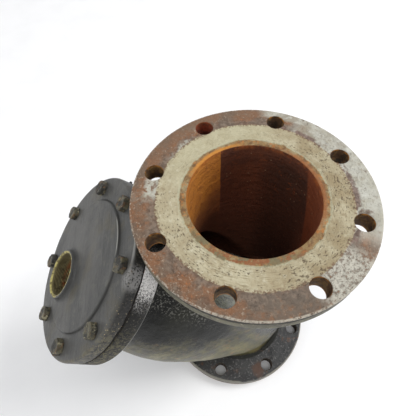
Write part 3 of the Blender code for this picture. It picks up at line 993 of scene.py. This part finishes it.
def outlet_face():
    """Outlet flange face: the mark of a ring gasket, pale scale to one side of it and rust to the other."""
    s = Surface("outlet_face", 0.75)
    distance, turn = s.round_run()
    fine = s.noise(160, 6, 0.65)
    coarse = s.noise(34, 6, 0.6, 1)
    patchy = s.noise(58, 7, 0.65, 8)
    dashes = s.swirl(distance, turn, 26, 620, 4, 1)
    arcs = s.swirl(distance, turn, 6, 900, 3, 5)
    ragged = fine * 0.0026 + (coarse + patchy) * 0.0038
    ragged = distance + (ragged - 0.0051)
    frayed = distance + (coarse - 0.5) * 0.05
    rust = bare_rust(s, fine, coarse, patchy)
    rust = mix(step(frayed, 0.126, 0.115) * 0.75, rust,
        mix(step(fine, 0.42, 0.58), (132, 116, 101), (98, 83, 71)))
    slate = s.sector(turn, 284, 20, 16)
    rust = mix(slate * step(fine, 0.36, 0.54) * 0.8, rust, (106, 94, 82))
    tan = s.sector(turn, 115, 32, 18) * step(frayed, 0.122, 0.132)
    rust = mix(tan * 0.6, rust, (118, 94, 74))
    scale = layers((192, 190, 178), (step(patchy, 0.44, 0.62, 0.8), (176, 172, 156)),
        (step(fine, 0.55, 0.66, 0.6), (150, 138, 120)),
        (step(s.noise(210, 5, 0.7, 4), 0.6, 0.68, 0.6), (104, 90, 76)),
        (s.sector(turn, 55, 22, 16) * step(coarse, 0.4, 0.56) * 0.65, (136, 122, 102)),
        (step(coarse, 0.6, 0.7, 0.7), (210, 210, 200)))
    pale = highest(s.sector(turn, 12, 42, 8), s.sector(turn, 62, 12, 6) * step(ragged, 0.124, 0.13))
    pale = pale * step(coarse, 0.33, 0.42)
    left_patch = s.sector(turn, 167, 8, 4) * step(fine, 0.4, 0.52) * step(ragged, 0.13, 0.122)
    top_patch = s.sector(turn, 135, 8, 4) * step(frayed, 0.118, 0.113) * step(fine, 0.42, 0.5)
    pale = highest(pale, highest(left_patch, top_patch * 0.8))
    outer = mix(pale, rust, scale)
    strip = (highest(s.sector(turn, 48, 16, 4), s.sector(turn, 345, 38, 5)) * step(ragged, 0.119, 0.116)
        * step(coarse, 0.44, 0.5))
    outer = mix(strip * 0.85, outer, mix(step(fine, 0.42, 0.58), (126, 102, 92), (96, 72, 62)))
    mottled = s.sector(turn, 306, 13, 6)
    flakes = s.noise(240, 6, 0.8, 9)
    outer = mix(mottled * 0.8, outer, (132, 124, 112))
    outer = mix(mottled * step(flakes, 0.42, 0.54) * 0.88, outer, (202, 198, 184))
    outer = mix(mottled * step(flakes, 0.4, 0.35) * 0.8, outer, (150, 98, 56))
    cream = layers((176, 164, 134), (step(patchy, 0.4, 0.6), (192, 183, 154)),
        (step(coarse, 0.5, 0.68, 0.7), (166, 150, 118)), (step(fine, 0.55, 0.66, 0.6), (206, 199, 174)),
        (step(fine, 0.43, 0.34, 0.6), (146, 128, 98)))
    smooth_side = s.sector(turn, 112, 42, 20)
    cream = mix(smooth_side * 0.5, cream, (186, 180, 148))
    stained = s.sector(turn, 350, 66, 22) * step(coarse + fine * 0.5, 0.62, 0.86) * 0.75
    cream = mix(stained, cream, (150, 133, 100))
    arcs_where = 0.25 + s.sector(turn, 248, 26, 12) * 0.55
    cream = mix(step(arcs, 0.54, 0.64) * arcs_where * 0.8, cream, (136, 121, 90))
    pitted = highest(s.sector(turn, 12, 34, 12), s.sector(turn, 300, 24, 10))
    pitted = highest(pitted, s.sector(turn, 212, 18, 8))
    clumps = s.noise(52, 5, 0.65, 16)
    level = pitted * 0.05 + step(clumps, 0.44, 0.62) * 0.07
    pits = step(dashes - (0.665 - level), 0.0, 0.02)
    pits = pits * step(distance, 0.085, 0.089) * (1.0 - smooth_side * 0.8)
    cream = mix(pits * 0.75, cream, (88, 70, 48))
    lip = layers((146, 118, 76), (step(fine, 0.42, 0.6), (114, 84, 50)),
        (step(patchy, 0.52, 0.62, 0.7), (164, 148, 112)),
        (step(s.noise(130, 6, 0.75, 33), 0.53, 0.61, 0.7), (182, 114, 48)),
        (s.sector(turn, 122, 24, 12) * step(ragged, 0.082, 0.079), (196, 130, 48)),
        (s.sector(turn, 8, 40, 20) * step(ragged, 0.083, 0.0785) * 0.75, (160, 98, 52)),
        (s.sector(turn, 262, 34, 14) * step(fine, 0.42, 0.54) * 0.8, (142, 84, 46)),
        (s.sector(turn, 250, 40, 14) * step(patchy, 0.5, 0.44) * 0.8, (112, 108, 80)))
    ring_edge = step(ragged, 0.1075, 0.1105) * step(ragged, 0.1135, 0.1115)
    edge_marks = ring_edge * step(s.swirl(distance, turn, 40, 300, 4, 9), 0.47, 0.55)
    inside_ring = step(ragged, 0.1122, 0.1108)
    inside_lip = step(ragged, 0.0862, 0.0844)
    lip_line = step(ragged, 0.0836, 0.0846) * step(ragged, 0.087, 0.0856) * step(patchy, 0.4, 0.5)
    # Light line along the face's outer edge: chips, plus a painted highlight on the bare machined edge.
    rim_chips_and_highlight = (step(distance, FLANGE_RADIUS - 0.0024, FLANGE_RADIUS - 0.0008)
        * step(s.noise(300, 4, 0.8, 31) + s.sector(turn, 268, 30, 10) * 0.07, 0.49, 0.57))
    tint = layers(outer, (inside_ring, cream), (edge_marks * 0.8, (112, 84, 62)), (inside_lip, lip),
        (lip_line * 0.65, (190, 188, 158)), (rim_chips_and_highlight * 0.8, (200, 192, 176)))
    relief = inside_ring * 0.35 + pits * -1.0
    relief = relief - inside_lip * 0.5
    rough = 0.58 + patchy * 0.25
    return s.finish(tint, rough, [(arcs, 0.0008), (relief, 0.001), (fine, 0.0022),
        (s.noise(520, 4, 0.7), 0.0006)])


def inlet_face():
    """Inlet flange face, which the strainer stands on: rust all over, with a faint ring."""
    s = Surface("inlet_face", 0.8)
    distance, turn = s.round_run()
    fine = s.noise(160, 6, 0.65)
    patchy = s.noise(58, 7, 0.65, 8)
    arcs = s.swirl(distance, turn, 6, 900, 3, 5)
    rust = bare_rust(s, fine, s.noise(34, 6, 0.6, 1), patchy)
    ring = step(distance, 0.113, 0.11) * step(patchy, 0.38, 0.56) * 0.6
    tint = mix(ring, rust, (160, 146, 120))
    return s.finish(tint, None, [(arcs, 0.0006), (fine, 0.002)])


def flange_rim():
    """Cast side of a flange: dark paint under olive dust, rusted and chipped where it meets the face, with
    a painted shadow line under the face's edge.
    """
    s = Surface("flange_rim", 0.6)
    fine = s.noise(150, 6, 0.7)
    drift = s.noise(26, 4)
    height = s.height()
    base = mix(step(drift, 0.35, 0.65), (86, 83, 64), (116, 112, 90))
    chips = step(s.noise(90, 8, 0.85, 2), 0.5, 0.6) * 0.85
    rust = step(s.noise(46, 6, 0.7, 5), 0.58, 0.66)
    _, turn = s.round_run()
    # Painted shadow: a dark line in the groove under the face's edge, strongest at the front.
    in_front = s.math("ADD", s.sector(turn, 268, 34, 10), 0.25, clamp=True)
    below = OUTLET_Z - (height + (drift - 0.5) * 0.012)
    undercut_shadow = step(below, 0.0024, 0.0034) * step(below, 0.011, 0.008) * in_front * 0.92
    tint = layers(base, (chips, (52, 47, 38)), (rust * 0.7, (120, 78, 48)),
        (step(fine, 0.57, 0.66) * 0.7, (158, 150, 124)), (undercut_shadow, (30, 26, 22)))
    return s.finish(tint, 0.45 + drift * 0.3, [(fine, 0.0025), (drift, 0.003)])


def hole_rust():
    s = Surface("hole_rust", 0.85)
    height = s.height()
    mottle = s.noise(120, 6, 0.7)
    tint = layers((84, 58, 34), (step(mottle, 0.45, 0.6), (122, 92, 48)),
        (step(s.noise(60, 4, seed=3), 0.52, 0.62, 0.8), (52, 42, 28)))
    for edge in (OUTLET_Z - FLANGE_THICKNESS, OUTLET_Z):
        at_edge = near(height, edge, 0.004, 0.0012)
        tint = mix(at_edge * step(mottle, 0.42, 0.54) * 0.85, tint, (186, 122, 46))
    tint = mix(step(height, 0.06, 0.04, 0.8), tint, (58, 54, 49))
    _, turn = s.round_run()
    red_hole = s.sector(turn, 112.5, 9, 3) * step(height, 0.3, 0.4)
    tint = mix(red_hole * 0.8, tint, mix(step(mottle, 0.4, 0.6), (150, 62, 28), (104, 40, 20)))
    turns = s.noise(40, 3, stretch=(1, 1, 8), seed=6)
    return s.finish(tint, None, [(mottle, 0.002), (turns, 0.002)])


def cover_paint():
    """Matte dark grey brushed on, scratched and chipped along the rim, bare where the boss was threaded,
    with painted highlights on the rim and disc edge and painted shade on the side, at the disc's foot and
    on the boss wall.
    """
    s = Surface("cover_paint", 0.55)
    across, y, along = s.local(BRANCH)
    away, _ = s.polar(CROSSING, ACROSS)
    from_boss, _ = s.polar(BOSS.translation, ACROSS)
    strokes = s.noise(190, 5, 0.6, stretch=(1, 0.05, 1))
    broad = s.noise(24, 4, stretch=(1, 0.3, 1), seed=2)
    fine = s.noise(380, 4, 0.6)
    chalk = s.noise(70, 6, 0.7, 15)
    base = mix(step(broad, 0.36, 0.64), (72, 72, 70), (90, 89, 86))
    base = mix(step(strokes, 0.52, 0.66, 0.3), base, (60, 60, 58))
    base = mix(step(strokes, 0.44, 0.32, 0.25), base, (106, 104, 98))
    base = mix(step(chalk, 0.52, 0.64, 0.45), base, (106, 104, 95))
    base = mix(step(chalk, 0.44, 0.34, 0.45), base, (58, 58, 57))
    base = mix(step(s.noise(20, 3, seed=5), 0.55, 0.68) * 0.35, base, (96, 88, 64))
    # Painted shade: the rim's side is drawn near-black, far darker than the face.
    side = step(along, COVER_FACE - 0.001, COVER_FACE - 0.006)
    side_shade = mix(step(fine, 0.4, 0.6), (18, 17, 15), (33, 31, 27))
    base = mix(side, base, side_shade)
    near_rim = step(away, COVER_RADIUS - 0.006, COVER_RADIUS - 0.001)
    on_edge = step(along, COVER_FACE - 0.0065, COVER_FACE - 0.003)
    worn = near_rim * on_edge * step(s.noise(170, 6, 0.75, 7), 0.54, 0.62) * 0.7
    dirt = side * step(s.noise(330, 5, 0.75, 19), 0.56, 0.63) * 0.5
    # Painted highlight: a light band on the rounded rim edge, on the right.
    rim_highlight = (near(away, COVER_RADIUS - 0.0018, 0.0016, 0.0006) * on_edge * step(abs(y + 0.02), 0.034, 0.014)
        * step(across, 0.08, 0.1) * 0.4)
    low_side = step(y, -0.05, -0.105)
    specks = (step(away, COVER_RADIUS - 0.009, COVER_RADIUS - 0.001)
        * step(s.cells(290, 4), 0.18, 0.09) * step(s.noise(30, 3, seed=9), 0.47, 0.55)
        * (0.25 + low_side * 0.7))
    lichen = near_rim * step(y, -0.098, -0.122) * step(s.noise(220, 5, 0.75, 23), 0.46, 0.55) * 0.6
    # Painted highlight: a pale patch on the cover's rim side, next to the one on the branch flange.
    highlight_spot = s.vector("DISTANCE", s.place, BRANCH @ Vector((0.115, -0.062, 0.318)))
    painted_highlight = step(highlight_spot, 0.02, 0.008) * step(fine, 0.38, 0.5) * 0.85
    # Painted shade: a dark line round the foot of the raised disc.
    groove = (near(away, DISC_RADIUS, 0.003, 0.0008) * step(along, COVER_FACE + 0.0026, COVER_FACE + 0.001)
        * 0.85)
    # Painted highlight: a bright line along the disc's edge on the right.
    edge = (near(away, DISC_RADIUS - 0.001, 0.0014, 0.0003)
        * step(along, COVER_FACE + 0.0022, COVER_FACE + 0.0028) * step(across, 0.075, 0.085)
        * near(y, 0.004, 0.034, 0.018) * 0.85)
    frayed = from_boss + (chalk - 0.5) * 0.006
    boss_top = (step(along, COVER_FACE + BOSS_HEIGHT - 0.0026, COVER_FACE + BOSS_HEIGHT - 0.001)
        * step(frayed, 0.0345, 0.0336))
    # Painted shade: the boss's outer wall is drawn dark.
    boss_wall_shade = step(from_boss, 0.0345, 0.0358) * step(from_boss, 0.0425, 0.0385) * 0.6
    mouth = (step(from_boss, BLOW_OFF_MOUTH_RADIUS + 0.0006, BLOW_OFF_MOUTH_RADIUS - 0.0006)
        * step(along, COVER_FACE, COVER_FACE + 0.002))
    cream = mix(step(s.noise(230, 5, 0.7, 11), 0.44, 0.58), (200, 188, 112), (110, 98, 54))
    tint = layers(base, (worn, (104, 84, 62)), (dirt, (108, 102, 90)), (lichen, (112, 106, 80)),
        (specks, (206, 184, 140)), (rim_highlight, (196, 196, 192)), (painted_highlight, (150, 148, 146)),
        (groove, (34, 33, 31)), (edge, (170, 170, 164)), (boss_wall_shade, (42, 42, 41)), (mouth, (104, 94, 56)),
        (boss_top, cream))
    rough = 0.36 + s.noise(30, 4, seed=13) * 0.26
    return s.finish(tint, rough, [(strokes, 0.0006), (broad, 0.002), (chalk, 0.0012), (fine, 0.0003)])


def thread_rust():
    s = Surface("thread_rust", 0.8)
    across, y, along = s.local(BOSS)
    mottle = s.noise(130, 6, 0.7)
    from_boss = s.math("SQRT", across * across + y * y)
    # Crests drawn lighter than the roots: worn bare crests, plus a painted highlight along the thread.
    crest = step(from_boss, BLOW_OFF_RADIUS + 0.0013, BLOW_OFF_RADIUS + 0.0004)
    deep = (step(along, COVER_FACE - 0.003, COVER_FACE - 0.011)
        * step(s.noise(60, 5, 0.7, 4), 0.42, 0.52))
    tint = layers((66, 56, 32), (step(mottle, 0.42, 0.62), (44, 36, 22)),
        (crest * step(mottle, 0.36, 0.5), (156, 144, 98)), (deep * 0.85, (150, 76, 32)))
    return s.finish(tint, None, [(mottle, 0.0012)])


def screw_rust():
    """Steel heads under the remains of the grey paint, olive and brown with rust."""
    s = Surface("screw_rust", 0.6)
    mottle = s.noise(190, 6, 0.7)
    coarse = s.noise(70, 5, 0.6, 2)
    tint = layers((68, 65, 53), (step(mottle, 0.44, 0.58), (104, 98, 76)),
        (step(coarse, 0.48, 0.54, 0.9), (36, 35, 31)),
        (step(s.noise(120, 5, 0.7, 5), 0.56, 0.63, 0.8), (106, 76, 46)),
        (step(s.noise(110, 5, 0.7, 8), 0.57, 0.64, 0.8), (172, 164, 134)))
    return s.finish(tint, 0.35 + coarse * 0.4, [(mottle, 0.0016), (coarse, 0.002)])


def gasket_fibre():
    s = Surface("gasket_fibre", 0.9)
    mottle = s.noise(200, 5, 0.7)
    tint = mix(step(mottle, 0.4, 0.6), (20, 18, 17), (44, 39, 35))
    return s.finish(tint, None, [(mottle, 0.001)])


def screen_steel():
    s = Surface("screen_steel", 0.4, 0.85)
    stain = s.noise(24, 6, 0.65)
    scratches = s.noise(260, 3, 0.5, stretch=(1, 0.1, 1))
    tint = layers((158, 154, 146), (step(stain, 0.48, 0.66), (124, 96, 66)),
        (step(s.noise(80, 5, seed=3), 0.6, 0.7), (96, 60, 36)))
    rough = 0.28 + stain * 0.4
    return s.finish(tint, rough, [(scratches, 0.0002), (stain, 0.0006)])


# ---- the object

paint = black_paint()
rust_inside = bore_rust()
rim_side = flange_rim()
hole_wall = hole_rust()


def paint_by_place(piece, materials, pick):
    """Gives each face one of the materials; pick takes the face's middle and normal."""
    for material in materials:
        piece.data.materials.append(material)
    for polygon in piece.data.polygons:
        polygon.material_index = pick(polygon.center, polygon.normal)


def make_run_flange(name, low, face_up, face_material):
    """Flange of the run, with its machined face on top if face_up, otherwise below."""
    lip = 0.0032
    outer_steps = [(-0.0007, 0), (0, 0.0006), (0, lip), (-0.0012, lip + 0.0004), (-0.0012, lip + 0.0012),
                   (-0.0003, lip + 0.0020), (-0.0003, 0.0225), (-0.0022, FLANGE_THICKNESS),
                   (-0.0030, FLANGE_THICKNESS)]
    bore_steps = [(-0.0012, 0), (-0.0003, 0.0006), (0, 0.0016), (0, FLANGE_THICKNESS)]
    hole_steps = [(-0.0009, 0), (-0.0002, 0.0005), (0, 0.0012), (0, 0.013), (0, FLANGE_THICKNESS - 0.001),
                  (-0.0008, FLANGE_THICKNESS)]
    holes = list(bolt_circle(FLANGE_BOLT_CIRCLE))
    flip = Matrix.Identity(4) if face_up else Matrix.Rotation(pi, 4, "X")
    half = FLANGE_THICKNESS / 2
    place = RUN @ Matrix.Translation((0, 0, low + half)) @ flip
    edges = {"outer": outer_steps, "bore": bore_steps, "hole": hole_steps}
    piece = plate(name, FLANGE_RADIUS, PIPE_RADIUS, holes, FLANGE_HOLE_RADIUS, -half, half, place,
                  edges, 0.0028 if FINE else 0.006, 0.0003)
    face_height = low + (FLANGE_THICKNESS if face_up else 0)

    def pick(middle, normal):
        away = sqrt((middle.x - RUN_X) ** 2 + middle.y ** 2)
        if abs(middle.z - face_height) < 0.0008:
            return 0
        if away > FLANGE_RADIUS - 0.004:
            return 0 if abs(middle.z - face_height) < lip else 1
        if away < PIPE_RADIUS + 0.002:
            return 2
        if abs(normal.z) > 0.8:
            return 4
        return 3

    side = rim_side if face_up else inlet_paint()
    paint_by_place(piece, (face_material, side, rust_inside, hole_wall, paint if face_up else side), pick)
    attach(piece, "casing")
    return piece


def make_branch_flange():
    holes = list(bolt_circle(COVER_BOLT_CIRCLE))
    depth = BRANCH_FACE - BRANCH_FLANGE_BACK
    outer_steps = [(-0.0012, 0), (-0.0003, 0.0004), (0, 0.0014), (0, depth - 0.0035),
                   (-0.0012, depth - 0.0010), (-0.0035, depth)]
    plain = [(-0.0004, 0), (0, 0.0006), (0, depth - 0.0006), (-0.0004, depth)]
    edges = {"outer": outer_steps, "bore": plain, "hole": plain}
    piece = plate("branch_flange", COVER_RADIUS, MOUTH_RADIUS, holes, SCREW_HOLE_RADIUS, BRANCH_FLANGE_BACK,
                  BRANCH_FACE, BRANCH, edges, 0.004 if FINE else 0.008)

    def pick(middle, normal):
        local = BRANCH.inverted() @ middle
        away = sqrt(local.x ** 2 + local.y ** 2)
        painted = away > COVER_RADIUS - 0.004 or abs(local.z - BRANCH_FLANGE_BACK) < 0.001
        return 0 if painted else 1

    paint_by_place(piece, (paint, rust_inside), pick)
    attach(piece, "casing")
    return piece


casting = make_casting(paint, rust_inside)
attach(casting, "casing")
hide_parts("strainer_body")
make_run_flange("outlet_flange", OUTLET_Z - FLANGE_THICKNESS, True, outlet_face())
make_run_flange("inlet_flange", INLET_Z, False, inlet_face())
make_branch_flange()

cover = make_cover()
cover.data.materials.append(cover_paint())
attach(cover, "cover")
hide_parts("cover")
thread = make_blow_off_thread()
thread.data.materials.append(thread_rust())
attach(thread, "cover")

gasket = make_gasket()
gasket.data.materials.append(gasket_fibre())
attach(gasket, "casing")
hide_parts("cover_gasket")

steel = screen_steel()
for piece, node in ((make_screen_sheet(), "screen_sheet"),
                    (make_band("lower_band", SCREEN_LOW), "screen_seat_band"),
                    (make_band("upper_band", SCREEN_HIGH - BAND_WIDTH), "screen_cover_band")):
    piece.data.materials.append(steel)
    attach(piece, "basket")
    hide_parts(node)

rusty = screw_rust()
for number, centre in enumerate(bolt_circle(COVER_BOLT_CIRCLE), start=1):
    screw = make_screw(number, centre, radians(37) * number)
    screw.data.materials.append(rusty)
    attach(screw, f"bolt_{number}")
    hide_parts(f"cover_bolt_{number}")


# ---- floor, light and camera

def make_floor():
    size, drop = 6.0, -0.0003
    corners = [(-size, -size, drop), (size, -size, drop), (size, size, drop), (-size, size, drop)]
    floor = add_piece("floor", corners, [(0, 1, 2, 3)])
    s = Surface("floor_white", 0.55)
    tint = mix(step(s.noise(9, 4), 0.4, 0.7), (250, 250, 251), (247, 247, 248))
    floor.data.materials.append(s.finish(tint))


def make_lights():
    world = bpy.data.worlds.new("studio")
    bpy.context.scene.world = world
    world.use_nodes = True
    world.node_tree.nodes["Background"].inputs["Color"].default_value = (0.98, 0.99, 1.0, 1)
    world.node_tree.nodes["Background"].inputs["Strength"].default_value = 0.56
    bpy.context.scene.view_settings.view_transform = "Standard"
    target = Vector((0.03, 0, 0.25))
    lamps = (("key", (4.2, 0.8, 4.4), 2.6, 205),
             ("fill", (-4.4, -1.5, 4.0), 4.0, 38),
             ("top", (-0.3, -1.3, 6.2), 3.0, 78))
    for name, place, size, power in lamps:
        data = bpy.data.lights.new(name, "AREA")
        data.size = size
        data.energy = power
        lamp = bpy.data.objects.new(name, data)
        bpy.context.scene.collection.objects.link(lamp)
        lamp.location = place
        lamp.rotation_euler = (target - Vector(place)).to_track_quat("-Z", "Y").to_euler()


def make_camera():
    """Camera at the photograph's viewing angle, looking down on the outlet from in front."""
    azimuth, elevation, roll = radians(-3.54), radians(57.575), radians(-2.228)
    right = Vector((cos(azimuth), sin(azimuth), 0))
    back = Vector((sin(azimuth) * cos(elevation), -cos(azimuth) * cos(elevation), sin(elevation)))
    up = back.cross(right)
    across = right * cos(roll) + up * sin(roll)
    upright = up * cos(roll) - right * sin(roll)
    data = bpy.data.cameras.new("camera")
    data.sensor_width = 36
    data.lens = 30.81
    data.clip_start = 0.01
    camera = bpy.data.objects.new("camera", data)
    bpy.context.scene.collection.objects.link(camera)
    turn = Matrix((across, upright, back)).transposed().to_4x4()
    camera.matrix_world = Matrix.Translation((RUN_X - 0.06595, -0.21991, 0.80088)) @ turn
    bpy.context.scene.camera = camera


make_floor()
make_lights()
make_camera()
